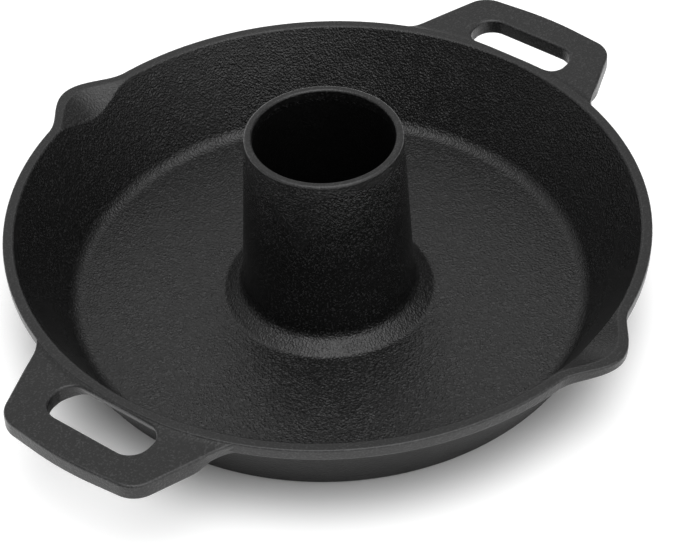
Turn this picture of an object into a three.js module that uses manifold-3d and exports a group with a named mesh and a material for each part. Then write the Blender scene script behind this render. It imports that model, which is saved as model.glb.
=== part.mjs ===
// Vertical poultry roaster: a round cast iron pan with a hollow tapered cone standing in its middle,
// two loop handles on the X axis and two pouring spouts on the Y axis.
// Millimetres, +Z up, origin at the centre of the underside.
//
// The real object is poured in one piece. Each mesh here is one region of that casting,
// and neighbouring regions meet face to face on flat or round seams.

import * as THREE from "three";
import { mergeVertices } from "three/addons/utils/BufferGeometryUtils.js";
import Module from "manifold-3d";

const wasm = await Module();
wasm.setup();

// ---- Driving dimensions ----

const SEGMENTS = 72; // steps round the pan's axis
const ARC_STEPS = 4; // steps along one rounded corner

const FLOOR_THICKNESS = 5;
const RIM_RADIUS = 150; // outside of the rim band
const RIM_TOP = 48.5;
const RIM_WIDTH = 5; // across the flat top of the rim
const BAND_HEIGHT = 6; // the thickened band round the rim
const EDGE_RADIUS = 0.9; // rounding of the band's edges

const WALL_THICKNESS = 4.3;
const WALL_SPREAD = 0.55; // how far the wall leans out for each millimetre of height
const WALL_FOOT_RADIUS = 111; // where the floor starts to curve up
const BASE_CORNER_RADIUS = 6; // outside corner between underside and wall

const CONE_TOP = 97;
const CONE_TOP_RADIUS = 36.3;
const CONE_SPREAD = 0.0507; // outward lean for each millimetre down
const CONE_FILLET_RADIUS = 11; // flared foot of the cone
const CONE_SEAM_RADIUS = 53; // end of the foot, on the flat of the floor
const CONE_ROOT_TOP = 17;
const LIP_HEIGHT = 6;
const LIP_EDGE_RADIUS = 1.1;

const CUP_TOP_RADIUS = 32.6;
const CUP_FOOT_RADIUS = 30.6;
const CUP_FILLET_RADIUS = 6; // inside corner at the bottom of the cup
const CUP_FLOOR_RADIUS = 24;

const HANDLE_REACH = 186.8; // from the pan's axis to the middle of the grip's outer edge
const HANDLE_BOW = 2.2; // how far the outer edge curves back at its ends
const HANDLE_HALF_WIDTH = 37.8; // at the outer corners, before rounding
const HANDLE_ROOT_HALF_WIDTH = 54; // where the sides run into the rim
const HANDLE_CORNER = 12; // how far along each side an outer corner's curve starts
const HANDLE_ROOT_FILLET = 5; // the same for the hollow corner between the side and the rim
const HANDLE_INNER_RADIUS = 141; // the outline starts here, inside the wall that cuts it
const HANDLE_TOP = 47.2;
const HANDLE_THICKNESS = 8.2;
const HANDLE_EDGE = 0.9; // rounding of the handle's edges

const SLOT_INNER = 151; // hand slot: nearest and furthest from the pan's axis
const SLOT_OUTER = 170;
const SLOT_HALF_LENGTH = 26.8;
const SLOT_INNER_CORNER = 7;
const SLOT_OUTER_CORNER = 12;

const SPOUT_CENTRE = 139.5; // centre of the arc that bounds a spout in plan
const SPOUT_RADIUS = 22;
const SPOUT_FILLET = 30; // hollow curve between the spout and the rim
const SPOUT_HALF_WIDTH = 32; // seam between the spout and the rim on each side
const SPOUT_BOTTOM = 33; // seam between the spout and the wall
const CHANNEL_RADIUS = 48; // the pouring channel is a slice of a sloping cylinder
const CHANNEL_START = 141; // where the channel leaves the wall
const CHANNEL_DEPTH = 7; // below the rim, at that point
const CHANNEL_RUN = 15; // from there to the lip
const CHANNEL_LENGTH = 110;
const CHANNEL_STEPS = 60;
const SPOUT_WALL = 4.6;

// ---- Shapes ----

// The two finishes of seasoned iron: pebbled as it left the sand, and dressed smoother.
const castIron = () => new THREE.MeshStandardMaterial({ color: 0x242424, roughness: 0.7, metalness: 0.2 });
const dressedIron = () => new THREE.MeshStandardMaterial({ color: 0x2f2f30, roughness: 0.55, metalness: 0.2 });

const point = (x, y) => new THREE.Vector2(x, y);

// Points along an arc, with angles in degrees, both ends included.
function arc(centreX, centreY, radius, from, to, steps = ARC_STEPS) {
  return Array.from({ length: steps + 1 }, (_, i) => {
    const angle = THREE.MathUtils.degToRad(from + ((to - from) * i) / steps);
    return point(centreX + radius * Math.cos(angle), centreY + radius * Math.sin(angle));
  });
}

// A ring or a solid of revolution about +Z from a profile of (radius, height), anticlockwise.
function revolve(profile) {
  const onAxis = profile[0].x === 0 && profile[profile.length - 1].x === 0;
  const points = onAxis ? profile : [...profile, profile[0]];
  return new THREE.LatheGeometry(points, SEGMENTS).rotateX(Math.PI / 2);
}

// A closed geometry as a solid that can be joined and cut.
function solid(geometry) {
  const bare = geometry.clone();
  bare.deleteAttribute("normal");
  bare.deleteAttribute("uv");
  const merged = mergeVertices(bare, 1e-4);
  const mesh = new wasm.Mesh({
    numProp: 3,
    vertProperties: merged.attributes.position.array,
    triVerts: new Uint32Array(merged.index.array),
  });
  return new wasm.Manifold(mesh);
}

// A solid back as a geometry.
function geometryOf(body) {
  const { numProp, vertProperties, triVerts } = body.getMesh();
  const positions = new Float32Array((vertProperties.length / numProp) * 3);
  for (let i = 0; i < positions.length / 3; i++) {
    positions.set(vertProperties.subarray(i * numProp, i * numProp + 3), i * 3);
  }
  return new THREE.BufferGeometry()
    .setAttribute("position", new THREE.BufferAttribute(positions, 3))
    .setIndex(new THREE.BufferAttribute(new Uint32Array(triVerts), 1));
}

// An upright block between two corners.
function block(low, high) {
  const [x, y, z] = low.map((v, i) => high[i] - v);
  const middle = low.map((v, i) => (v + high[i]) / 2);
  return solid(new THREE.BoxGeometry(x, y, z).translate(...middle));
}

// A flat outline raised from one height to another.
function raise(shape, bottom, top, curveSegments = 10) {
  const options = { depth: top - bottom, bevelEnabled: false, curveSegments };
  return solid(new THREE.ExtrudeGeometry(shape, options).translate(0, 0, bottom));
}

// ---- Pan wall and rim ----

const leanAngle = THREE.MathUtils.radToDeg(Math.atan(WALL_SPREAD)); // from the vertical
const wallOffset = WALL_THICKNESS / Math.cos(Math.atan(WALL_SPREAD));
const innerWall = (z) => RIM_RADIUS - RIM_WIDTH - WALL_SPREAD * (RIM_TOP - z);
const outerWall = (z) => innerWall(z) + wallOffset;

// The inside of the pan from the floor's flat up to the given height.
function insideProfile(top) {
  const turn = 90 - leanAngle;
  const run = innerWall(FLOOR_THICKNESS) - WALL_FOOT_RADIUS;
  const radius = run / Math.tan(THREE.MathUtils.degToRad(turn / 2));
  const curve = arc(WALL_FOOT_RADIUS, FLOOR_THICKNESS + radius, radius, -90, turn - 90);
  return [...curve, point(innerWall(top), top)];
}

// The outside of the pan from the underside up to the given height.
function outsideProfile(top) {
  const r = BASE_CORNER_RADIUS;
  const lean = THREE.MathUtils.degToRad(leanAngle);
  // The corner's centre sits r above the underside and r inside the wall's outer line.
  const centre = outerWall(r) - r / Math.cos(lean);
  return [...arc(centre, r, r, -90, -leanAngle), point(outerWall(top), top)];
}

// The outside all the way up: wall, then the band with its rounded edges.
function outsideWithBand() {
  const bandBottom = RIM_TOP - BAND_HEIGHT;
  const e = EDGE_RADIUS;
  return [
    ...outsideProfile(bandBottom),
    ...arc(RIM_RADIUS - e, bandBottom + e, e, -90, 0, 2),
    ...arc(RIM_RADIUS - e, RIM_TOP - e, e, 0, 90, 2),
  ];
}

// Wall and rim band together, before the spouts are added.
function wallAndRim() {
  const inside = insideProfile(RIM_TOP).reverse();
  return solid(revolve([point(WALL_FOOT_RADIUS, 0), ...outsideWithBand(), ...inside]));
}

// All that the pan's outside encloses.
function panEnvelope() {
  return solid(revolve([point(0, 0), ...outsideWithBand(), point(0, RIM_TOP)]));
}

// Plan outline of a spout on +Y: a round lip with a hollow curve into the rim on each side.
function spoutOutline() {
  const toFillet = RIM_RADIUS + SPOUT_FILLET;
  const lipToFillet = SPOUT_RADIUS + SPOUT_FILLET;
  const y = (toFillet ** 2 - lipToFillet ** 2 + SPOUT_CENTRE ** 2) / (2 * SPOUT_CENTRE);
  const x = Math.sqrt(toFillet ** 2 - y ** 2);
  const rimAngle = Math.atan2(y, x);
  const lipAngle = Math.atan2(y - SPOUT_CENTRE, x);
  const root = (RIM_RADIUS / toFillet) * x;
  const shape = new THREE.Shape();
  shape.moveTo(root, SPOUT_CENTRE);
  shape.absarc(x, y, SPOUT_FILLET, rimAngle + Math.PI, lipAngle + Math.PI, true);
  shape.absarc(0, SPOUT_CENTRE, SPOUT_RADIUS, lipAngle, Math.PI - lipAngle, false);
  shape.absarc(-x, y, SPOUT_FILLET, -lipAngle, -rimAngle, true);
  shape.lineTo(-root, SPOUT_CENTRE);
  return shape;
}

// A sloping cylinder whose lowest line runs from the wall up to the lip, for the spout on +Y.
function channelCylinder(radius) {
  const slope = Math.atan2(CHANNEL_DEPTH, CHANNEL_RUN);
  const axisY = CHANNEL_START - CHANNEL_RADIUS * Math.sin(slope);
  const axisZ = RIM_TOP - CHANNEL_DEPTH + CHANNEL_RADIUS * Math.cos(slope);
  const cylinder = new THREE.CylinderGeometry(radius, radius, CHANNEL_LENGTH, CHANNEL_STEPS);
  return solid(cylinder.rotateX(slope).translate(0, axisY, axisZ));
}

const halfTurn = (body) => body.rotate([0, 0, 180]);

function wallWithSpouts() {
  const top = 2 * RIM_TOP;
  const inside = solid(revolve([point(0, 0), point(innerWall(0), 0), point(innerWall(top), top), point(0, top)]));
  const outline = spoutOutline();
  const lip = raise(outline, RIM_TOP - BAND_HEIGHT, RIM_TOP);
  const belly = raise(outline, SPOUT_BOTTOM, RIM_TOP).intersect(channelCylinder(CHANNEL_RADIUS + SPOUT_WALL));
  const spout = lip.add(belly).subtract(inside);
  const channel = channelCylinder(CHANNEL_RADIUS);
  return wallAndRim().add(spout).add(halfTurn(spout)).subtract(channel).subtract(halfTurn(channel));
}

// A quarter of all space below the rim band, about a direction given in degrees from +X.
function quarterBelowBand(angle) {
  const far = 2 * RIM_RADIUS;
  const wedge = new THREE.Shape([point(0, 0), point(far, -far), point(far, far)]);
  return raise(wedge, -far, RIM_TOP - BAND_HEIGHT).rotate([0, 0, angle]);
}

// Cuts the wall and rim into four wall quarters, two rim halves and two spouts.
function wallParts() {
  const whole = wallWithSpouts();
  const far = 2 * RIM_RADIUS;
  const bandBottom = RIM_TOP - BAND_HEIGHT;
  const back = block([-SPOUT_HALF_WIDTH, 0, SPOUT_BOTTOM], [SPOUT_HALF_WIDTH, far, far]);
  const front = halfTurn(back);
  const rest = whole.subtract(back).subtract(front);
  const rightOfRim = block([0, -far, bandBottom], [far, far, far]);
  return {
    wall_right: rest.intersect(quarterBelowBand(0)),
    wall_back: rest.intersect(quarterBelowBand(90)),
    wall_left: rest.intersect(quarterBelowBand(180)),
    wall_front: rest.intersect(quarterBelowBand(270)),
    rim_right: rest.intersect(rightOfRim),
    rim_left: rest.intersect(halfTurn(rightOfRim)),
    spout_back: whole.intersect(back),
    spout_front: whole.intersect(front),
  };
}

// ---- Floor, cone and cup ----

const cupWall = (z) =>
  CUP_FOOT_RADIUS + ((CUP_TOP_RADIUS - CUP_FOOT_RADIUS) * (z - FLOOR_THICKNESS)) / (CONE_TOP - FLOOR_THICKNESS);
const coneWall = (z) => CONE_TOP_RADIUS + CONE_SPREAD * (CONE_TOP - z);

function cookingFloor() {
  return revolve([
    point(CONE_SEAM_RADIUS, 0),
    point(WALL_FOOT_RADIUS, 0),
    point(WALL_FOOT_RADIUS, FLOOR_THICKNESS),
    point(CONE_SEAM_RADIUS, FLOOR_THICKNESS),
  ]);
}

function cupFloor() {
  const r = CUP_FLOOR_RADIUS;
  return revolve([point(0, 0), point(r, 0), point(r, FLOOR_THICKNESS), point(0, FLOOR_THICKNESS)]);
}

function coneRoot() {
  const lean = THREE.MathUtils.radToDeg(Math.atan(CONE_SPREAD));
  const r = CONE_FILLET_RADIUS;
  const reach = r * Math.tan(THREE.MathUtils.degToRad((90 - lean) / 2));
  const centre = coneWall(FLOOR_THICKNESS) + reach;
  const flare = arc(centre, FLOOR_THICKNESS + r, r, -90, -180 + lean);
  const c = CUP_FILLET_RADIUS;
  const cupCorner = arc(cupWall(FLOOR_THICKNESS + c) - c, FLOOR_THICKNESS + c, c, 0, -90, 3);
  return revolve([
    point(CUP_FLOOR_RADIUS, 0),
    point(CONE_SEAM_RADIUS, 0),
    point(CONE_SEAM_RADIUS, FLOOR_THICKNESS),
    ...flare,
    point(coneWall(CONE_ROOT_TOP), CONE_ROOT_TOP),
    point(cupWall(CONE_ROOT_TOP), CONE_ROOT_TOP),
    ...cupCorner,
    point(CUP_FLOOR_RADIUS, FLOOR_THICKNESS),
  ]);
}

function coneWallRing() {
  const top = CONE_TOP - LIP_HEIGHT;
  return revolve([
    point(cupWall(CONE_ROOT_TOP), CONE_ROOT_TOP),
    point(coneWall(CONE_ROOT_TOP), CONE_ROOT_TOP),
    point(coneWall(top), top),
    point(cupWall(top), top),
  ]);
}

function coneLip() {
  const bottom = CONE_TOP - LIP_HEIGHT;
  const e = LIP_EDGE_RADIUS;
  return revolve([
    point(cupWall(bottom), bottom),
    point(coneWall(bottom), bottom),
    ...arc(CONE_TOP_RADIUS - e, CONE_TOP - e, e, 0, 90, 2),
    ...arc(CUP_TOP_RADIUS + e, CONE_TOP - e, e, 90, 180, 2),
  ]);
}

// ---- Handles ----

// Plan outline of the handle on +X, reaching inside the rim so that the rim can cut it to fit.
function handleOutline() {
  const corner = point(HANDLE_REACH - HANDLE_BOW, HANDLE_HALF_WIDTH);
  const root = point(Math.sqrt(RIM_RADIUS ** 2 - HANDLE_ROOT_HALF_WIDTH ** 2), HANDLE_ROOT_HALF_WIDTH);
  const side = corner.clone().sub(root).normalize();
  const onSide = corner.clone().addScaledVector(side, -HANDLE_CORNER);
  const bowed = HANDLE_BOW * (1 - (1 - HANDLE_CORNER / corner.y) ** 2);
  const onEdge = point(corner.x + bowed, corner.y - HANDLE_CORNER);
  const fillet = root.clone().addScaledVector(side, HANDLE_ROOT_FILLET);
  const along = root.clone().rotateAround(point(0, 0), HANDLE_ROOT_FILLET / RIM_RADIUS);
  const inner = along.clone().multiplyScalar(HANDLE_INNER_RADIUS / RIM_RADIUS);
  const shape = new THREE.Shape();
  shape.moveTo(inner.x, -inner.y);
  shape.lineTo(along.x, -along.y);
  shape.quadraticCurveTo(root.x, -root.y, fillet.x, -fillet.y);
  shape.lineTo(onSide.x, -onSide.y);
  shape.quadraticCurveTo(corner.x, -corner.y, onEdge.x, -onEdge.y);
  shape.quadraticCurveTo(2 * HANDLE_REACH - onEdge.x, 0, onEdge.x, onEdge.y);
  shape.quadraticCurveTo(corner.x, corner.y, onSide.x, onSide.y);
  shape.lineTo(fillet.x, fillet.y);
  shape.quadraticCurveTo(root.x, root.y, along.x, along.y);
  shape.lineTo(inner.x, inner.y);
  shape.holes.push(slotOutline());
  return shape;
}

// The hand slot, with tighter corners on the side of the pan.
function slotOutline() {
  const [a, b, y] = [SLOT_INNER, SLOT_OUTER, SLOT_HALF_LENGTH];
  const [ra, rb] = [SLOT_INNER_CORNER, SLOT_OUTER_CORNER];
  const path = new THREE.Path();
  path.moveTo(a, y - ra);
  path.absarc(a + ra, y - ra, ra, Math.PI, Math.PI / 2, true);
  path.absarc(b - rb, y - rb, rb, Math.PI / 2, 0, true);
  path.absarc(b - rb, rb - y, rb, 0, -Math.PI / 2, true);
  path.absarc(a + ra, ra - y, ra, -Math.PI / 2, -Math.PI, true);
  return path;
}

function handle() {
  const e = HANDLE_EDGE;
  const plate = new THREE.ExtrudeGeometry(handleOutline(), {
    depth: HANDLE_THICKNESS - 2 * e,
    bevelThickness: e,
    bevelSize: e,
    bevelOffset: -e,
    bevelSegments: 2,
    curveSegments: 5,
  }).translate(0, 0, HANDLE_TOP - HANDLE_THICKNESS + e);
  return solid(plate).subtract(panEnvelope());
}

// ---- The group ----

const roaster = new THREE.Group();

function addPart(name, geometry, material) {
  const mesh = new THREE.Mesh(geometry, material);
  mesh.name = name;
  roaster.add(mesh);
}

const rightHandle = handle();
addPart("cooking_floor", cookingFloor(), castIron());
for (const [name, body] of Object.entries(wallParts())) {
  addPart(name, geometryOf(body), name.startsWith("wall") ? castIron() : dressedIron());
}
addPart("handle_right", geometryOf(rightHandle), dressedIron());
addPart("handle_left", geometryOf(halfTurn(rightHandle)), dressedIron());
addPart("cone_root", coneRoot(), castIron());
addPart("cone_wall", coneWallRing(), castIron());
addPart("cone_lip", coneLip(), dressedIron());
addPart("cup_floor", cupFloor(), castIron());

export default roaster;
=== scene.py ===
"""A vertical poultry roaster: a seasoned cast iron pan with a hollow cone standing in it.

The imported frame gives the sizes. Each region of the casting is one piece. Its section is drawn as
an outline and swept round the pan's axis, or it is drawn in plan and raised, and it is eased where
it runs into its neighbour, so that the finished pieces read as one pour of iron.
"""

import logging
import math
from dataclasses import dataclass
from enum import Enum
from typing import Callable, Sequence

import bpy
from mathutils import Matrix, Vector


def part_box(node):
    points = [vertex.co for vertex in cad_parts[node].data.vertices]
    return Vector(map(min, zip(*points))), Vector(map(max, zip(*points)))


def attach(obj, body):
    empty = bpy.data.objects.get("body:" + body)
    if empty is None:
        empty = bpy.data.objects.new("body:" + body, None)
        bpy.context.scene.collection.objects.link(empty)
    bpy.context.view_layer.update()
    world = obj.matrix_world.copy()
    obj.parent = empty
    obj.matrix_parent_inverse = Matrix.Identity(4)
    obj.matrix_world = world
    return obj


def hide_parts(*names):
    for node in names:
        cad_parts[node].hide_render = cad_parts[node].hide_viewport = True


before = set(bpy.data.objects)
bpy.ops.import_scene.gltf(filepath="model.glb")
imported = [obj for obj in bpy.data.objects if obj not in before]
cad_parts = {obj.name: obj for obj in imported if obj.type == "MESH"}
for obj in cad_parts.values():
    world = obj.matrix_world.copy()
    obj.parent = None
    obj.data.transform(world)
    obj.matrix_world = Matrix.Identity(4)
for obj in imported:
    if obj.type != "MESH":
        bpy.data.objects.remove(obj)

log = logging.getLogger("roaster")

MM = 0.001
TURN = 2 * math.pi
QUARTER = math.pi / 2
MOST_OF_A_SIDE = 0.48  # an arc may take at most this share of the side that it starts on
RING_STEPS = 720
MERGE = 1e-6  # points closer than this are one point
SMOOTH_ANGLE = math.radians(50)
SIDEWAYS = 0.2  # a face that leans more than this way counts as facing it
UPWARDS = 0.5
DRESSED = "dressed"  # 0 as it left the sand, 1 where it was dressed smoother
WORN = "worn"  # 1 along edges that hands and utensils rub


class Slot(Enum):
    """The two finishes that the record names."""

    CAST = "as_cast_iron"
    DRESSED = "dressed_iron"


# ---- Outlines -------------------------------------------------------------------------------------


@dataclass(frozen=True)
class Spot:
    """A point of an outline, with the finish of the iron there."""

    x: float
    y: float
    dressed: float = 0.0
    worn: float = 0.0

    @property
    def at(self) -> Vector:
        """The point as a vector."""
        return Vector((self.x, self.y))


@dataclass(frozen=True)
class Corner(Spot):
    """A corner of an outline, rounded by an arc in a number of steps."""

    radius: float = 0.0
    steps: int = 6

    def rounded(self, before: Spot, after: Spot) -> list[Spot]:
        """Rounds the corner. Where a side is too short for the arc, the arc is made smaller.

        Args:
            before: the corner that comes first.
            after: the corner that follows.

        Returns:
            The arc's points, which wear most at its middle, or the corner alone if it isn't rounded.
        """
        if self.radius == 0:
            return [Spot(self.x, self.y, self.dressed)]
        back, ahead = before.at - self.at, after.at - self.at
        half = back.angle(ahead) / 2
        room = MOST_OF_A_SIDE * min(back.length, ahead.length)
        reach = min(self.radius / math.tan(half), room)
        inward = (back.normalized() + ahead.normalized()).normalized()
        centre = self.at + inward * (reach / math.cos(half))
        first = self.at + back.normalized() * reach - centre
        turn = math.copysign(math.pi - 2 * half, ahead.x * back.y - ahead.y * back.x)
        spots = []
        for i in range(self.steps + 1):
            share = i / self.steps
            spot = centre + Matrix.Rotation(turn * share, 2) @ first
            spots.append(Spot(spot.x, spot.y, self.dressed, self.worn * math.sin(math.pi * share)))
        return spots


Outline = list[Spot]


def outline_of(corners: Sequence[Corner]) -> Outline:
    """Joins corners into a closed outline.

    Args:
        corners: the corners in order.

    Returns:
        The outline's points, arcs included.
    """
    points: Outline = []
    for i, corner in enumerate(corners):
        points += corner.rounded(corners[i - 1], corners[(i + 1) % len(corners)])
    return points


def spread_evenly(path: Sequence[Vector], count: int) -> list[Vector]:
    """Places points at even steps along a path.

    Args:
        path: the path's points.
        count: how many steps to take.

    Returns:
        The points, without the path's last one.
    """
    lengths = [0.0]
    for a, b in zip(path, path[1:]):
        lengths.append(lengths[-1] + (b - a).length)
    spots, piece = [], 0
    for i in range(count):
        aim = lengths[-1] * i / count
        while lengths[piece + 1] < aim:
            piece += 1
        share = (aim - lengths[piece]) / (lengths[piece + 1] - lengths[piece])
        spots.append(path[piece].lerp(path[piece + 1], share))
    return spots


# ---- Making pieces with Blender's tools -----------------------------------------------------------


@dataclass(frozen=True)
class SkinPoint:
    """A point of a piece's skin, with the finish of the iron there."""

    place: Vector
    dressed: float = 0.0
    worn: float = 0.0

    @staticmethod
    def turned(spot: Spot, angle: float) -> "SkinPoint":
        """Takes an outline's point, as (radius, height), to an angle about the Z axis."""
        place = Vector((spot.x * math.cos(angle), spot.x * math.sin(angle), spot.y))
        return SkinPoint(place, spot.dressed, spot.worn)


Station = list[SkinPoint]


def select_only(piece: bpy.types.Object) -> None:
    """Selects one piece and makes it active."""
    bpy.ops.object.select_all(action="DESELECT")
    piece.select_set(True)
    bpy.context.view_layer.objects.active = piece


def close_up(piece: bpy.types.Object) -> None:
    """Merges doubled points, closes open ends and turns all faces outwards."""
    select_only(piece)
    bpy.ops.object.mode_set(mode="EDIT")
    bpy.ops.mesh.select_mode(type="VERT")
    bpy.ops.mesh.select_all(action="SELECT")
    bpy.ops.mesh.remove_doubles(threshold=MERGE)
    bpy.ops.mesh.select_all(action="DESELECT")
    bpy.ops.mesh.select_non_manifold()
    bpy.ops.mesh.fill_holes(sides=0)
    bpy.ops.mesh.select_all(action="SELECT")
    bpy.ops.mesh.normals_make_consistent(inside=False)
    bpy.ops.object.mode_set(mode="OBJECT")


def smooth_shade(piece: bpy.types.Object) -> None:
    """Shades a piece smooth between its sharp edges, with its flats kept flat."""
    select_only(piece)
    bpy.ops.object.shade_smooth_by_angle(angle=SMOOTH_ANGLE)
    weighted = piece.modifiers.new("flats", "WEIGHTED_NORMAL")
    weighted.keep_sharp = True
    bpy.ops.object.modifier_apply(modifier=weighted.name)


def skinned(name: str, stations: Sequence[Station]) -> bpy.types.Object:
    """Spins a ring of edges into a skin, then puts each of its points in its own place.

    Args:
        name: the new piece's name.
        stations: the rings that the skin passes through, all with the same number of points. If the
            last one is the first again, the skin closes on itself, and otherwise its ends are capped.

    Returns:
        A closed piece with its faces pointing out, and its finish in the attributes DRESSED and WORN.
    """
    size = len(stations[0])
    bpy.ops.object.select_all(action="DESELECT")
    bpy.ops.mesh.primitive_circle_add(
        vertices=size, radius=1, location=(2, 0, 0), fill_type="NOTHING"
    )
    piece = bpy.context.object
    piece.name = piece.data.name = name
    bpy.ops.object.transform_apply(location=True)
    bpy.ops.object.mode_set(mode="EDIT")
    bpy.ops.mesh.select_all(action="SELECT")
    bpy.ops.mesh.spin(steps=len(stations) - 1, angle=1, center=(0, 0, 0), axis=(0, 1, 0))
    bpy.ops.object.mode_set(mode="OBJECT")
    points = [point for station in stations for point in station]
    for vertex, point in zip(piece.data.vertices, points, strict=True):
        vertex.co = point.place
    for finish in (DRESSED, WORN):
        values = piece.data.attributes.new(finish, "FLOAT", "POINT")
        values.data.foreach_set("value", [getattr(point, finish) for point in points])
    close_up(piece)
    smooth_shade(piece)
    return piece


def swept(name: str, section: Callable[[float], Outline], start: float, sweep: float,
          steps: int) -> bpy.types.Object:
    """Sweeps a section of (radius, height) points about the Z axis.

    Args:
        name: the new piece's name.
        section: gives the outline at an angle, always with the same number of points.
        start: the angle where the sweep starts.
        sweep: how far it turns; a full turn closes on itself.
        steps: how many steps it takes.

    Returns:
        The finished piece.
    """
    angles = [start + sweep * i / steps for i in range(steps + 1)]
    stations = [[SkinPoint.turned(spot, angle) for spot in section(angle)] for angle in angles]
    return skinned(name, stations)


def ring(name: str, outline: Outline) -> bpy.types.Object:
    """Sweeps one outline all the way round in half-degree steps."""
    return swept(name, lambda _: outline, 0.0, TURN, RING_STEPS)


# ---- The finish -----------------------------------------------------------------------------------


class NodeSheet:
    """A material's node tree, with short calls for the nodes that the finishes share."""

    def __init__(self, name: str) -> None:
        """Starts a material with nothing but its output."""
        self.material = bpy.data.materials.new(name)
        self.material.use_nodes = True
        self.tree = self.material.node_tree
        self.tree.nodes.clear()
        self.output = self.tree.nodes.new("ShaderNodeOutputMaterial")

    def add(self, kind: str, inputs: dict | None = None, **settings) -> bpy.types.Node:
        """Adds a node.

        Args:
            kind: the node's type without the word ShaderNode.
            inputs: values or sockets for its inputs, by name or number.
            **settings: its other properties.

        Returns:
            The node.
        """
        node = self.tree.nodes.new("ShaderNode" + kind)
        for name, value in settings.items():
            setattr(node, name, value)
        for key, value in (inputs or {}).items():
            if isinstance(value, bpy.types.NodeSocket):
                self.tree.links.new(value, node.inputs[key])
            else:
                node.inputs[key].default_value = value
        return node

    def math(self, operation: str, *values) -> bpy.types.NodeSocket:
        """Adds a sum, product or other operation on numbers or sockets and gives its result."""
        return self.add("Math", dict(enumerate(values)), operation=operation).outputs[0]

    def between(self, share, low, high) -> bpy.types.NodeSocket:
        """Gives low where share is 0 and high where it is 1."""
        return self.add("Mix", {0: share, 2: low, 3: high}, data_type="FLOAT").outputs[0]

    def blend(self, share, low, high) -> bpy.types.NodeSocket:
        """Gives one colour where share is 0 and the other where it is 1."""
        return self.add("Mix", {0: share, 6: low, 7: high}, data_type="RGBA").outputs[2]

    def noise(self, size: float, detail: float = 2.0, roughness: float = 0.5) -> bpy.types.NodeSocket:
        """Gives smooth noise from 0 to 1 with spots of about the given size, in metres."""
        place = self.add("TexCoord").outputs["Object"]
        inputs = {"Vector": place, "Scale": 1 / size, "Detail": detail, "Roughness": roughness}
        return self.add("TexNoise", inputs).outputs[0]

    def attribute(self, name: str) -> bpy.types.NodeSocket:
        """Reads one of the piece's own attributes."""
        return self.add("Attribute", attribute_name=name, attribute_type="GEOMETRY").outputs["Fac"]


@dataclass(frozen=True)
class SeasonedIron:
    """Cast iron under baked-on oil, pebbled by the sand and closer where it was dressed."""

    name: str = "seasoned_iron"
    oil: tuple[float, float, float, float] = (0.003, 0.003, 0.003, 1.0)
    thin_oil: tuple[float, float, float, float] = (0.034, 0.034, 0.0345, 1.0)  # on the pebbles' tops
    tops: tuple[float, float] = (0.53, 0.70)  # where the tops start and are full, in the sand's grain
    bare: tuple[float, float, float, float] = (0.06, 0.06, 0.061, 1.0)
    shine: float = 1.5  # the index of refraction of the baked oil
    cast_roughness: float = 0.27
    dressed_roughness: float = 0.33
    pebble: float = 0.9 * MM
    pebble_depth: float = 0.46 * MM
    dressed_depth: float = 0.18 * MM
    cell_depth: float = -0.25  # how much the cells between pebbles add to the grit
    patch: float = 8.1 * MM  # patches of deeper and shallower grain
    patch_depths: tuple[float, float] = (0.5, 1.5)
    patch_rub: tuple[float, float] = (0.3, 1.2)
    cloud: float = 54 * MM  # clouds of rougher and smoother oil
    cloud_roughness: float = 0.12
    ripple: float = 14 * MM
    ripple_depth: float = 0.12 * MM
    wear: tuple[float, float] = (0.1, 0.6)  # how bare a rubbed edge is, in its pits and on its grit

    def material(self) -> bpy.types.Material:
        """Builds the material.

        Returns:
            A material that reads the piece's place and its DRESSED and WORN attributes.
        """
        sheet = NodeSheet(self.name)
        dressed, worn = sheet.attribute(DRESSED), sheet.attribute(WORN)
        place = sheet.add("TexCoord").outputs["Object"]
        cells = sheet.add(
            "TexVoronoi",
            {"Vector": place, "Scale": 0.5 / self.pebble, "Smoothness": 0.7},
            feature="SMOOTH_F1",
        )
        grit = sheet.noise(self.pebble, 1.0, 0.5)
        pebbles = sheet.math("MULTIPLY_ADD", cells.outputs["Distance"], self.cell_depth, grit)
        patches = sheet.noise(self.patch, 3.0)
        clouds = sheet.noise(self.cloud, 2.0)
        depth = sheet.between(dressed, self.pebble_depth, self.dressed_depth)
        depth = sheet.math("MULTIPLY", depth, sheet.between(patches, *self.patch_depths))
        ripples = sheet.math("MULTIPLY", sheet.noise(self.ripple, 2.0), self.ripple_depth)
        height = sheet.math("MULTIPLY_ADD", pebbles, depth, ripples)
        bump = sheet.add("Bump", {"Strength": 1.0, "Distance": 1.0, "Height": height})
        start, full = self.tops
        tops = sheet.add("MapRange", {0: grit, 1: start, 2: full}, clamp=True).outputs[0]
        rubbed = sheet.math("MULTIPLY", tops, sheet.between(patches, *self.patch_rub))
        oil = sheet.blend(rubbed, self.oil, self.thin_oil)
        bared = sheet.math("MULTIPLY", worn, sheet.between(grit, *self.wear))
        colour = sheet.blend(bared, oil, self.bare)
        roughness = sheet.between(dressed, self.cast_roughness, self.dressed_roughness)
        unevenness = sheet.math(
            "MULTIPLY_ADD", clouds, self.cloud_roughness, -self.cloud_roughness / 2
        )
        roughness = sheet.math("ADD", roughness, unevenness)
        shader = sheet.add(
            "BsdfPrincipled",
            {
                "Base Color": colour,
                "Roughness": roughness,
                "Normal": bump.outputs[0],
                "IOR": self.shine,
            },
        )
        sheet.tree.links.new(shader.outputs[0], sheet.output.inputs["Surface"])
        return sheet.material


# ---- The pan --------------------------------------------------------------------------------------


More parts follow.
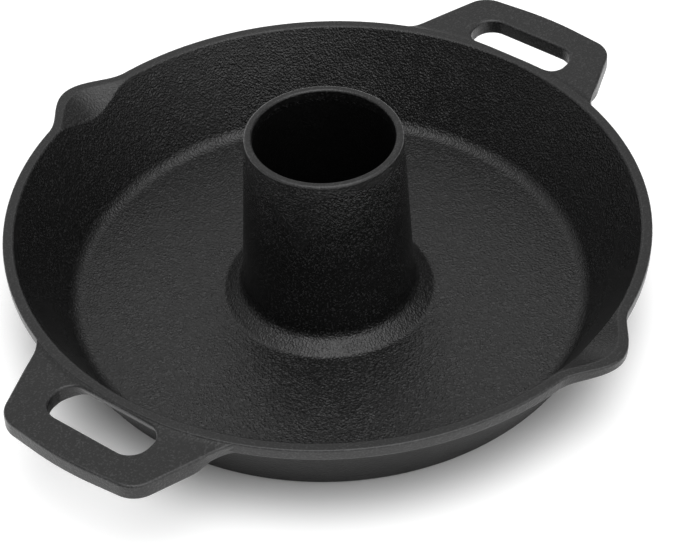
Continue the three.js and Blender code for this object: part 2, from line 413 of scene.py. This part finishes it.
@dataclass(frozen=True)
class Pan:
    """The round body: floor, flared wall, rim band and the two pouring spouts."""

    cone_seam: float
    foot: float
    floor_top: float
    rim_radius: float
    rim_top: float
    band_bottom: float
    spout_tip: float
    spout_seam: float
    rim_width: float = 5 * MM
    spread: float = 0.55  # the wall's outward lean for each unit of height
    wall_width: float = 4.9 * MM  # measured level, across the wall
    foot_curve: float = 16.4 * MM  # asked for; the short side on the floor holds it to 8.2 mm
    base_curve: float = 6 * MM
    wall_top: float = 41 * MM
    edge: float = 0.9 * MM
    spout_half_angle: float = math.radians(10.8)
    channel_reach: float = 11 * MM
    channel_dip: float = 6.8 * MM
    least_draw: float = 0.055  # keeps a small chamfer on the rim's inner edge
    lip_rise: float = 1.4 * MM
    belly_drop: float = 6.5 * MM
    tuck: float = 0.4 * MM  # how far a hidden edge runs on inside its neighbour
    slot_angle: float = math.radians(9.6)  # how far a hand slot reaches to each side of X
    slot_fade: float = math.radians(3)  # over which the undercut grows
    slot_undercut: float = 2.4 * MM
    crease_curve: float = 1.5 * MM
    mouth_curve: float = 3 * MM
    belly_curve: float = 1.5 * MM
    belly_swell: float = 5 * MM  # how much rounder the belly is under a spout
    tail_drop: float = 1.5 * MM

    def inner(self, z: float) -> float:
        """The wall's inside radius at a height."""
        return self.rim_radius - self.rim_width - self.spread * (self.rim_top - z)

    def outer(self, z: float) -> float:
        """The wall's outside radius at a height."""
        return self.inner(z) + self.wall_width

    def floor(self) -> bpy.types.Object:
        """Makes the flat ring of the cooking floor."""
        corners = [
            Corner(self.cone_seam, 0),
            Corner(self.foot, 0),
            Corner(self.foot, self.floor_top),
            Corner(self.cone_seam, self.floor_top),
        ]
        return ring("iron_floor", outline_of(corners))

    def wall(self) -> bpy.types.Object:
        """Makes the curved foot and the flared wall up to the rim."""
        corners = [
            Corner(self.foot, 0),
            Corner(self.outer(0), 0, radius=self.base_curve, steps=12),
            Corner(self.outer(self.wall_top), self.wall_top),
            Corner(self.inner(self.wall_top), self.wall_top),
            Corner(self.inner(self.floor_top), self.floor_top, radius=self.foot_curve, steps=20),
            Corner(self.foot, self.floor_top),
        ]
        return ring("iron_wall", outline_of(corners))

    def draw(self, angle: float) -> float:
        """How far the rim is drawn out into a spout at an angle, from 0 to 1."""
        from_spout = (angle % math.pi) - QUARTER
        if abs(from_spout) > self.spout_half_angle:
            return 0.0
        return math.cos(QUARTER * from_spout / self.spout_half_angle) ** 2

    def undercut(self, angle: float) -> float:
        """How far the band's lower edge is cut back at an angle, where a hand slot opens on it."""
        from_slot = abs((angle + QUARTER) % math.pi - QUARTER)
        share = min(max((self.slot_angle - from_slot) / self.slot_fade, 0), 1)
        return self.slot_undercut * share * share * (3 - 2 * share)

    def rim_section(self, angle: float) -> Outline:
        """Draws the rim band and the top of the wall at an angle.

        Args:
            angle: the angle from +X.

        Returns:
            The section's outline, drawn out where it crosses a spout.
        """
        drawn = self.draw(angle)
        channel = self.least_draw + (1 - self.least_draw) * drawn
        reach = self.rim_radius + (self.spout_tip - self.rim_radius) * drawn
        mouth = self.rim_radius - self.rim_width + self.channel_reach * channel
        crease = self.rim_top - self.channel_dip * channel
        band = self.band_bottom + self.lip_rise * drawn
        belly = self.band_bottom - self.belly_drop * drawn
        swell = self.belly_curve + self.belly_swell * drawn
        tail = belly - self.tail_drop * (1 + drawn)
        corners = [
            Corner(self.inner(self.wall_top), self.wall_top),
            Corner(self.inner(crease), crease, 0.25, 0.3, radius=self.crease_curve, steps=5),
            Corner(mouth, self.rim_top, 1.0, 0.5, radius=self.mouth_curve, steps=5),
            Corner(reach, self.rim_top, 1.0, 1.0, radius=self.edge, steps=6),
            Corner(reach - self.edge / 3 - self.undercut(angle), band, 1.0, 0.5,
                   radius=1.2 * self.edge, steps=6),
            Corner(self.outer(belly), belly, 0.5, radius=swell, steps=6),
            Corner(self.outer(tail) - self.tuck * drawn, tail),
            Corner(self.outer(self.wall_top) - self.tuck * drawn, self.wall_top),
        ]
        return outline_of(corners)

    def rim_parts(self) -> list[bpy.types.Object]:
        """Makes the two halves of the rim band and the spouts between them.

        Returns:
            The four pieces, each named for the node that it stands for.
        """
        seam = math.asin(self.spout_seam / self.rim_radius)
        half_rim, spout = math.pi - 2 * seam, 2 * seam
        return [
            swept("iron_rim_right", self.rim_section, seam - QUARTER, half_rim, 320),
            swept("iron_spout_back", self.rim_section, QUARTER - seam, spout, 96),
            swept("iron_rim_left", self.rim_section, QUARTER + seam, half_rim, 320),
            swept("iron_spout_front", self.rim_section, 3 * QUARTER - seam, spout, 96),
        ]


# ---- The cone -------------------------------------------------------------------------------------


@dataclass(frozen=True)
class RoastingCone:
    """The hollow cone: its flared root, wall, rounded lip and closed cup."""

    cup_radius: float
    root_radius: float
    floor_top: float
    root_top: float
    lip_bottom: float
    top: float
    top_radius: float = 36.3 * MM
    spread: float = 0.0507
    cup_top_radius: float = 32.6 * MM
    cup_spread: float = 0.0217
    root_curve: float = 9 * MM  # asked for; the side up to the root's top holds it to 6 mm
    skirt_radius: float = 49.5 * MM
    skirt_rise: float = 5.6 * MM
    skirt_curve: float = 4 * MM
    cup_curve: float = 6 * MM  # asked for; the short side on the floor holds it to 3.2 mm
    lip_curve: float = 1.3 * MM

    def outer(self, z: float) -> float:
        """The outside radius at a height."""
        return self.top_radius + self.spread * (self.top - z)

    def inner(self, z: float) -> float:
        """The cup's radius at a height."""
        return self.cup_top_radius - self.cup_spread * (self.top - z)

    def root(self) -> bpy.types.Object:
        """Makes the flared foot, with the bottom corner of the cup inside it."""
        skirt_top = self.floor_top + self.skirt_rise
        corners = [
            Corner(self.cup_radius, 0),
            Corner(self.root_radius, 0),
            Corner(self.root_radius, self.floor_top),
            Corner(self.skirt_radius, self.floor_top, radius=self.skirt_curve, steps=8),
            Corner(self.outer(skirt_top), skirt_top, radius=self.root_curve, steps=16),
            Corner(self.outer(self.root_top), self.root_top),
            Corner(self.inner(self.root_top), self.root_top),
            Corner(self.inner(self.floor_top), self.floor_top, radius=self.cup_curve, steps=12),
            Corner(self.cup_radius, self.floor_top),
        ]
        return ring("iron_cone_root", outline_of(corners))

    def wall(self) -> bpy.types.Object:
        """Makes the tapered wall between root and lip."""
        low, high = self.root_top, self.lip_bottom
        corners = [
            Corner(self.inner(low), low),
            Corner(self.outer(low), low),
            Corner(self.outer(high), high),
            Corner(self.inner(high), high),
        ]
        return ring("iron_cone_wall", outline_of(corners))

    def lip(self) -> bpy.types.Object:
        """Makes the rounded top edge."""
        low = self.lip_bottom
        corners = [
            Corner(self.inner(low), low),
            Corner(self.outer(low), low),
            Corner(self.outer(self.top), self.top, 1.0, 1.0, radius=self.lip_curve, steps=8),
            Corner(self.inner(self.top), self.top, 1.0, 0.6, radius=self.lip_curve, steps=8),
        ]
        return ring("iron_cone_lip", outline_of(corners))

    def cup_floor(self) -> bpy.types.Object:
        """Makes the disc that closes the cup."""
        corners = [
            Corner(0, 0),
            Corner(self.cup_radius, 0),
            Corner(self.cup_radius, self.floor_top),
            Corner(0, self.floor_top),
        ]
        return ring("iron_cup_floor", outline_of(corners))


# ---- The handles ----------------------------------------------------------------------------------


@dataclass(frozen=True)
class LoopHandle:
    """A slotted loop handle on +X, run into the rim with hollow curves."""

    reach: float
    top: float
    bottom: float
    rim_radius: float
    inner_end: float = 145.5 * MM
    bow: float = 0.7 * MM
    bow_curve: float = 160 * MM
    corner_x: float = 183.6 * MM
    corner_y: float = 37.9 * MM
    corner_curve: float = 13 * MM
    root_y: float = 54 * MM
    root_curve: float = 20 * MM
    root_angle: float = math.radians(8)  # how far past its root a side runs on inside the rim
    slot_near: float = 150.6 * MM
    slot_far: float = 170.2 * MM
    slot_half: float = 26.8 * MM
    slot_near_curve: float = 7.5 * MM
    slot_far_curve: float = 12 * MM  # asked for; the slot's narrow width holds it to 9.4 mm
    edge: float = 1.3 * MM
    edge_steps: int = 6
    flat_steps: int = 24
    root_steps: int = 12
    corner_steps: int = 16
    bow_steps: int = 24
    end_steps: int = 32
    rim_blend: float = 4 * MM
    rim_rise: float = 0.8 * MM
    wall_blend: float = 6 * MM  # how far out the wall's lean still shows
    wall_spread: float = 0.55
    stations_each: tuple[int, int, int, int] = (64, 56, 96, 56)  # on the end, side, grip and side

    def outer_stretches(self) -> list[list[Vector]]:
        """Draws the outside in plan, and the end inside the rim.

        Returns:
            Four stretches, anticlockwise: the end in the rim, one side, the grip and the other side.
        """
        root = math.asin(self.root_y / self.rim_radius)
        root_x = self.rim_radius * math.cos(root)
        inside = self.rim_radius - self.edge
        end_angle = root + self.root_angle
        hidden_x, hidden_y = inside * math.cos(end_angle), inside * math.sin(end_angle)
        corners = [
            Corner(hidden_x, -hidden_y),
            Corner(root_x, -self.root_y, radius=self.root_curve, steps=self.root_steps),
            Corner(self.corner_x, -self.corner_y, radius=self.corner_curve, steps=self.corner_steps),
            Corner(self.reach + self.bow, 0, radius=self.bow_curve, steps=self.bow_steps),
            Corner(self.corner_x, self.corner_y, radius=self.corner_curve, steps=self.corner_steps),
            Corner(root_x, self.root_y, radius=self.root_curve, steps=self.root_steps),
            Corner(hidden_x, hidden_y),
        ]
        path = [spot.at for spot in outline_of(corners)]
        end = []
        for i in range(self.end_steps + 1):
            angle = end_angle * (1 - 2 * i / self.end_steps)
            end.append(Vector((self.inner_end * math.cos(angle), self.inner_end * math.sin(angle))))
        hidden_and_root = 1 + self.root_steps + 1
        lower = hidden_and_root + self.corner_steps // 2
        upper = len(path) - 1 - lower
        return [end + path[:1], path[: lower + 1], path[lower : upper + 1], path[upper:] + end[:1]]

    def slot_stretches(self) -> list[list[Vector]]:
        """Draws the hand slot in plan.

        Returns:
            Four stretches that face those of outer_stretches.
        """
        near, far, half = self.slot_near, self.slot_far, self.slot_half
        corners = [
            Corner(near, half, radius=self.slot_near_curve, steps=self.corner_steps),
            Corner(near, -half, radius=self.slot_near_curve, steps=self.corner_steps),
            Corner(far, -half, radius=self.slot_far_curve, steps=self.corner_steps),
            Corner(far, half, radius=self.slot_far_curve, steps=self.corner_steps),
        ]
        path = [spot.at for spot in outline_of(corners)]
        middle, arc_points = self.corner_steps // 2, self.corner_steps + 1
        path += path[: middle + 1]
        cuts = [middle + arc_points * i for i in range(len(corners) + 1)]
        return [path[a : b + 1] for a, b in zip(cuts, cuts[1:])]

    def eased(self, point: SkinPoint) -> SkinPoint:
        """Lifts the top into the rim's edge and leans the part near the pan with the pan's wall."""
        place = point.place.copy()
        radius = place.xy.length
        below = self.top - place.z
        near_rim = min(max(1 - (radius - self.rim_radius) / self.rim_blend, 0), 1)
        near_wall = min(max(1 - (abs(place.x) - self.slot_near) / self.wall_blend, 0), 1)
        place.z += self.rim_rise * near_rim**2 * max(1 - below / self.edge, 0)
        place.xy *= 1 - self.wall_spread * near_wall**2 * below / radius
        return SkinPoint(place, point.dressed, point.worn)

    def station(self, outside: Vector, outward: Vector, slot: Vector, slotward: Vector) -> Station:
        """Draws the handle's section between the slot and the outside.

        Args:
            outside: the section's place on the outline.
            outward: the outline's normal there.
            slot: its place on the slot.
            slotward: the normal there, into the slot.

        Returns:
            The section's points, from the bottom of the outside over the top and back underneath.
        """
        points: Station = []

        def arc(centre: Vector, aside: Vector, height: float, first: float) -> None:
            for i in range(self.edge_steps + 1):
                share = i / self.edge_steps
                angle = first + QUARTER * share
                at = centre + aside * (self.edge * abs(math.cos(angle)))
                place = Vector((at.x, at.y, height + self.edge * math.sin(angle)))
                points.append(SkinPoint(place, 1.0, math.sin(math.pi * share)))

        def flat(a: Vector, b: Vector, height: float) -> None:
            for i in range(1, self.flat_steps):
                at = a.lerp(b, i / self.flat_steps)
                points.append(SkinPoint(Vector((at.x, at.y, height)), 1.0))

        far, near = outside - outward * self.edge, slot - slotward * self.edge
        high, low = self.top - self.edge, self.bottom + self.edge
        arc(far, outward, low, -QUARTER)
        arc(far, outward, high, 0.0)
        flat(far, near, self.top)
        arc(near, slotward, high, QUARTER)
        arc(near, slotward, low, math.pi)
        flat(near, far, self.bottom)
        return [self.eased(point) for point in points]

    def loop(self, name: str) -> bpy.types.Object:
        """Makes the handle on +X.

        Args:
            name: the piece's name.

        Returns:
            The piece.
        """
        outside, slot = (
            [
                spot
                for path, count in zip(stretches, self.stations_each)
                for spot in spread_evenly(path, count)
            ]
            for stretches in (self.outer_stretches(), self.slot_stretches())
        )
        stations = []
        for i in range(len(outside) + 1):
            here, before, after = i % len(outside), i - 1, (i + 1) % len(outside)
            along = outside[after] - outside[before]
            along_slot = slot[after] - slot[before]
            outward = Vector((along.y, -along.x)).normalized()
            slotward = Vector((-along_slot.y, along_slot.x)).normalized()
            stations.append(self.station(outside[here], outward, slot[here], slotward))
        stations[-1] = stations[0]
        return skinned(name, stations)

    def opposite(self, handle: bpy.types.Object, name: str) -> bpy.types.Object:
        """Copies a handle to the other side, half a turn round.

        Args:
            handle: the handle on +X.
            name: the copy's name.

        Returns:
            The copy, which has its own mesh.
        """
        select_only(handle)
        bpy.ops.object.duplicate(linked=False)
        copy = bpy.context.object
        copy.name = copy.data.name = name
        bpy.ops.object.mode_set(mode="EDIT")
        bpy.ops.mesh.select_all(action="SELECT")
        bpy.ops.transform.rotate(value=math.pi, orient_axis="Z", center_override=(0, 0, 0))
        bpy.ops.object.mode_set(mode="OBJECT")
        return copy


# ---- The studio -----------------------------------------------------------------------------------


@dataclass(frozen=True)
class Glow:
    """A soft patch of light on the studio's tent."""

    azimuth: float  # degrees from +X to its middle
    elevation: float
    strength: float
    tightness: float  # the higher, the smaller the patch

    @property
    def towards(self) -> Vector:
        """The direction of its middle."""
        across, up = math.radians(self.azimuth), math.radians(self.elevation)
        level = math.cos(up)
        return Vector((math.cos(across) * level, math.sin(across) * level, math.sin(up)))


@dataclass(frozen=True)
class Studio:
    """A pale floor in a light tent that glows softly from above, behind and both sides."""

    floor_size: float = 12.0
    floor_colour: tuple[float, float, float, float] = (0.9, 0.9, 0.9, 1.0)
    floor_roughness: float = 0.9
    floor_glow: float = 0.38  # the floor glows, except under the pan, where the missing glow paints its shadow
    glow_reach: tuple[float, float] = (0.122, 0.160)  # from the axis: where it starts and is full
    dim: float = 0.12  # the light that the tent gives everywhere
    glows: tuple[Glow, ...] = (
        Glow(azimuth=-125, elevation=74, strength=3.1, tightness=6),
        Glow(azimuth=39, elevation=48, strength=0.66, tightness=9),
        Glow(azimuth=55, elevation=0, strength=0.5, tightness=6),
        Glow(azimuth=-100, elevation=8, strength=0.85, tightness=4),
        Glow(azimuth=115, elevation=25, strength=0.4, tightness=6),
    )

    def build(self) -> None:
        """Lays the floor, which glows except for a painted shadow under the pan, and lights the tent.
        """
        bpy.ops.object.select_all(action="DESELECT")
        bpy.ops.mesh.primitive_plane_add(size=self.floor_size)
        floor = bpy.context.object
        floor.name = "studio_floor"
        sheet = NodeSheet("studio_floor")
        place = sheet.add("TexCoord").outputs["Object"]
        distance = sheet.add("VectorMath", {0: place}, operation="LENGTH").outputs["Value"]
        # The floor's glow fades out towards the pan's axis, which paints the pan's shadow on the
        # floor.
        near, far = self.glow_reach
        glow_outside_painted_shadow = sheet.add("MapRange", {0: distance, 1: near, 2: far, 3: 0.0, 4: self.floor_glow},
                        interpolation_type="SMOOTHSTEP").outputs[0]
        shader = sheet.add("BsdfPrincipled", {
            "Base Color": self.floor_colour,
            "Roughness": self.floor_roughness,
            "Emission Color": (1.0, 1.0, 1.0, 1.0),
            "Emission Strength": glow_outside_painted_shadow,
        })
        sheet.tree.links.new(shader.outputs[0], sheet.output.inputs["Surface"])
        floor.data.materials.append(sheet.material)
        self.light_tent()
        bpy.context.scene.view_settings.view_transform = "Standard"

    def light_tent(self) -> None:
        """Adds up the tent's patches of light in the world's background."""
        world = bpy.data.worlds.new("light_tent")
        world.use_nodes = True
        nodes, links = world.node_tree.nodes, world.node_tree.links
        background = nodes["Background"]
        background.inputs["Color"].default_value = (1, 1, 1, 1)
        direction = nodes.new("ShaderNodeTexCoord").outputs["Generated"]
        total = None
        for glow in self.glows:
            facing = nodes.new("ShaderNodeVectorMath")
            facing.operation = "DOT_PRODUCT"
            links.new(direction, facing.inputs[0])
            facing.inputs[1].default_value = glow.towards
            ahead = nodes.new("ShaderNodeMath")
            ahead.operation = "MAXIMUM"
            links.new(facing.outputs["Value"], ahead.inputs[0])
            ahead.inputs[1].default_value = 0.0
            fall = nodes.new("ShaderNodeMath")
            fall.operation = "POWER"
            links.new(ahead.outputs[0], fall.inputs[0])
            fall.inputs[1].default_value = glow.tightness
            gather = nodes.new("ShaderNodeMath")
            gather.operation = "MULTIPLY_ADD"
            links.new(fall.outputs[0], gather.inputs[0])
            gather.inputs[1].default_value = glow.strength
            gather.inputs[2].default_value = self.dim
            if total:
                links.new(total, gather.inputs[2])
            total = gather.outputs[0]
        links.new(total, background.inputs["Strength"])
        bpy.context.scene.world = world


@dataclass(frozen=True)
class Camera:
    """The camera, which looks down at the pan from between a handle and a spout."""

    azimuth: float = math.radians(-51.4)
    elevation: float = math.radians(41.34)
    roll: float = math.radians(-2.22)
    distance: float = 1.2295  # from the aim, in metres
    aim: tuple[float, float, float] = (0.0, 0.0, 0.045)
    lens: float = 140.6
    shift: tuple[float, float] = (0.0185, -0.0793)

    def place(self) -> None:
        """Adds the camera and makes it the scene's."""
        right = Vector((math.cos(self.azimuth), math.sin(self.azimuth), 0))
        back = Vector((
            math.sin(self.azimuth) * math.cos(self.elevation),
            -math.cos(self.azimuth) * math.cos(self.elevation),
            math.sin(self.elevation),
        ))
        axes = Matrix((right, back.cross(right), back)).transposed()
        lens = bpy.data.cameras.new("camera")
        lens.lens = self.lens
        lens.shift_x, lens.shift_y = self.shift
        camera = bpy.data.objects.new("camera", lens)
        turn = axes @ Matrix.Rotation(self.roll, 3, "Z")
        stand = Vector(self.aim) + back * self.distance
        camera.matrix_world = Matrix.Translation(stand) @ turn.to_4x4()
        bpy.context.scene.collection.objects.link(camera)
        bpy.context.scene.camera = camera


# ---- The whole roaster ----------------------------------------------------------------------------


def settle(piece: bpy.types.Object, slot: Slot, iron: bpy.types.Material, *nodes: str) -> None:
    """Gives a piece its finish and sets it in the frame.

    Args:
        piece: the finished piece.
        slot: the record's finish for the piece; not used.
        iron: its material.
        *nodes: the CAD nodes that it stands for.
    """
    piece.data.materials.append(iron)
    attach(piece, "root")
    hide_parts(*nodes)
    log.info("%s: %d faces, stands for %s", piece.name, len(piece.data.polygons), ", ".join(nodes))


def paint_shade_on(piece: bpy.types.Object, shade_paint: bpy.types.Material,
               chosen: Callable[[bpy.types.MeshPolygon], bool]) -> None:
    """Paints shade on some of a piece's faces by giving them a darker, duller iron.

    Args:
        piece: a piece that already has its iron.
        shade_paint: the darker, duller iron that paints the shade.
        chosen: tells which faces take it.
    """
    piece.data.materials.append(shade_paint)
    for face in piece.data.polygons:
        if chosen(face):
            face.material_index = 1


def outward(face: bpy.types.MeshPolygon) -> float:
    """How squarely a face looks away from the pan's axis, from -1 to 1."""
    return face.normal.xy.dot(face.center.xy.normalized())


def span(node: str) -> tuple[Vector, Vector]:
    """Gives the lowest and highest corner of a CAD node."""
    low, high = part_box(node)
    return Vector(low), Vector(high)


def main() -> None:
    """Builds the roaster, its studio and its camera."""
    logging.basicConfig(level=logging.INFO, format="%(name)s: %(message)s")
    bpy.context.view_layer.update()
    Camera().place()

    rim_low, rim_high = span("rim_right")
    pan = Pan(
        cone_seam=span("cone_root")[1].x,
        foot=span("cooking_floor")[1].x,
        floor_top=span("cooking_floor")[1].z,
        rim_radius=rim_high.x,
        rim_top=rim_high.z,
        band_bottom=rim_low.z,
        spout_tip=span("spout_back")[1].y,
        spout_seam=span("spout_back")[1].x,
    )
    cone = RoastingCone(
        cup_radius=span("cup_floor")[1].x,
        root_radius=pan.cone_seam,
        floor_top=pan.floor_top,
        root_top=span("cone_root")[1].z,
        lip_bottom=span("cone_lip")[0].z,
        top=span("cone_lip")[1].z,
    )
    handle_low, handle_high = span("handle_right")
    handle = LoopHandle(
        reach=handle_high.x,
        top=handle_high.z,
        bottom=handle_low.z,
        rim_radius=pan.rim_radius,
    )
    iron = SeasonedIron().material()
    settle(pan.floor(), Slot.CAST, iron, "cooking_floor")
    # Darker iron with a weaker shine and rougher oil. It is painted shade, given to the wall's
    # outside and underside and to the inside of the cup.
    shade_paint = SeasonedIron(
        name="painted_shade_iron",
        oil=(0.002, 0.002, 0.002, 1.0),
        thin_oil=(0.008, 0.008, 0.008, 1.0),
        shine=1.25,
        cast_roughness=0.5,
    ).material()
    wall = pan.wall()
    settle(wall, Slot.CAST, iron, "wall_right", "wall_back", "wall_left", "wall_front")
    # Painted shade: the wall's outward- and downward-facing faces take the darker, duller iron.
    paint_shade_on(wall, shade_paint, lambda face: outward(face) > SIDEWAYS or face.normal.z < -SIDEWAYS)
    for piece in pan.rim_parts():
        settle(piece, Slot.DRESSED, iron, piece.name.replace("iron_", ""))
    # Painted shade inside the cup: its inner wall and its floor take the darker, duller iron.
    cup_reach = cone.cup_top_radius - cone.lip_curve / 4
    cone_pieces = {
        "cone_root": cone.root(),
        "cone_wall": cone.wall(),
        "cone_lip": cone.lip(),
        "cup_floor": cone.cup_floor(),
    }
    for node, piece in cone_pieces.items():
        settle(piece, Slot.CAST, iron, node)
        paint_shade_on(
            piece, shade_paint,
            lambda face: face.center.xy.length < cup_reach
            and (outward(face) < 0 or face.normal.z > UPWARDS),
        )
    right = handle.loop("iron_handle_right")
    left = handle.opposite(right, "iron_handle_left")
    settle(right, Slot.DRESSED, iron, "handle_right")
    settle(left, Slot.DRESSED, iron, "handle_left")

    Studio().build()


if __name__ == "__main__":
    main()
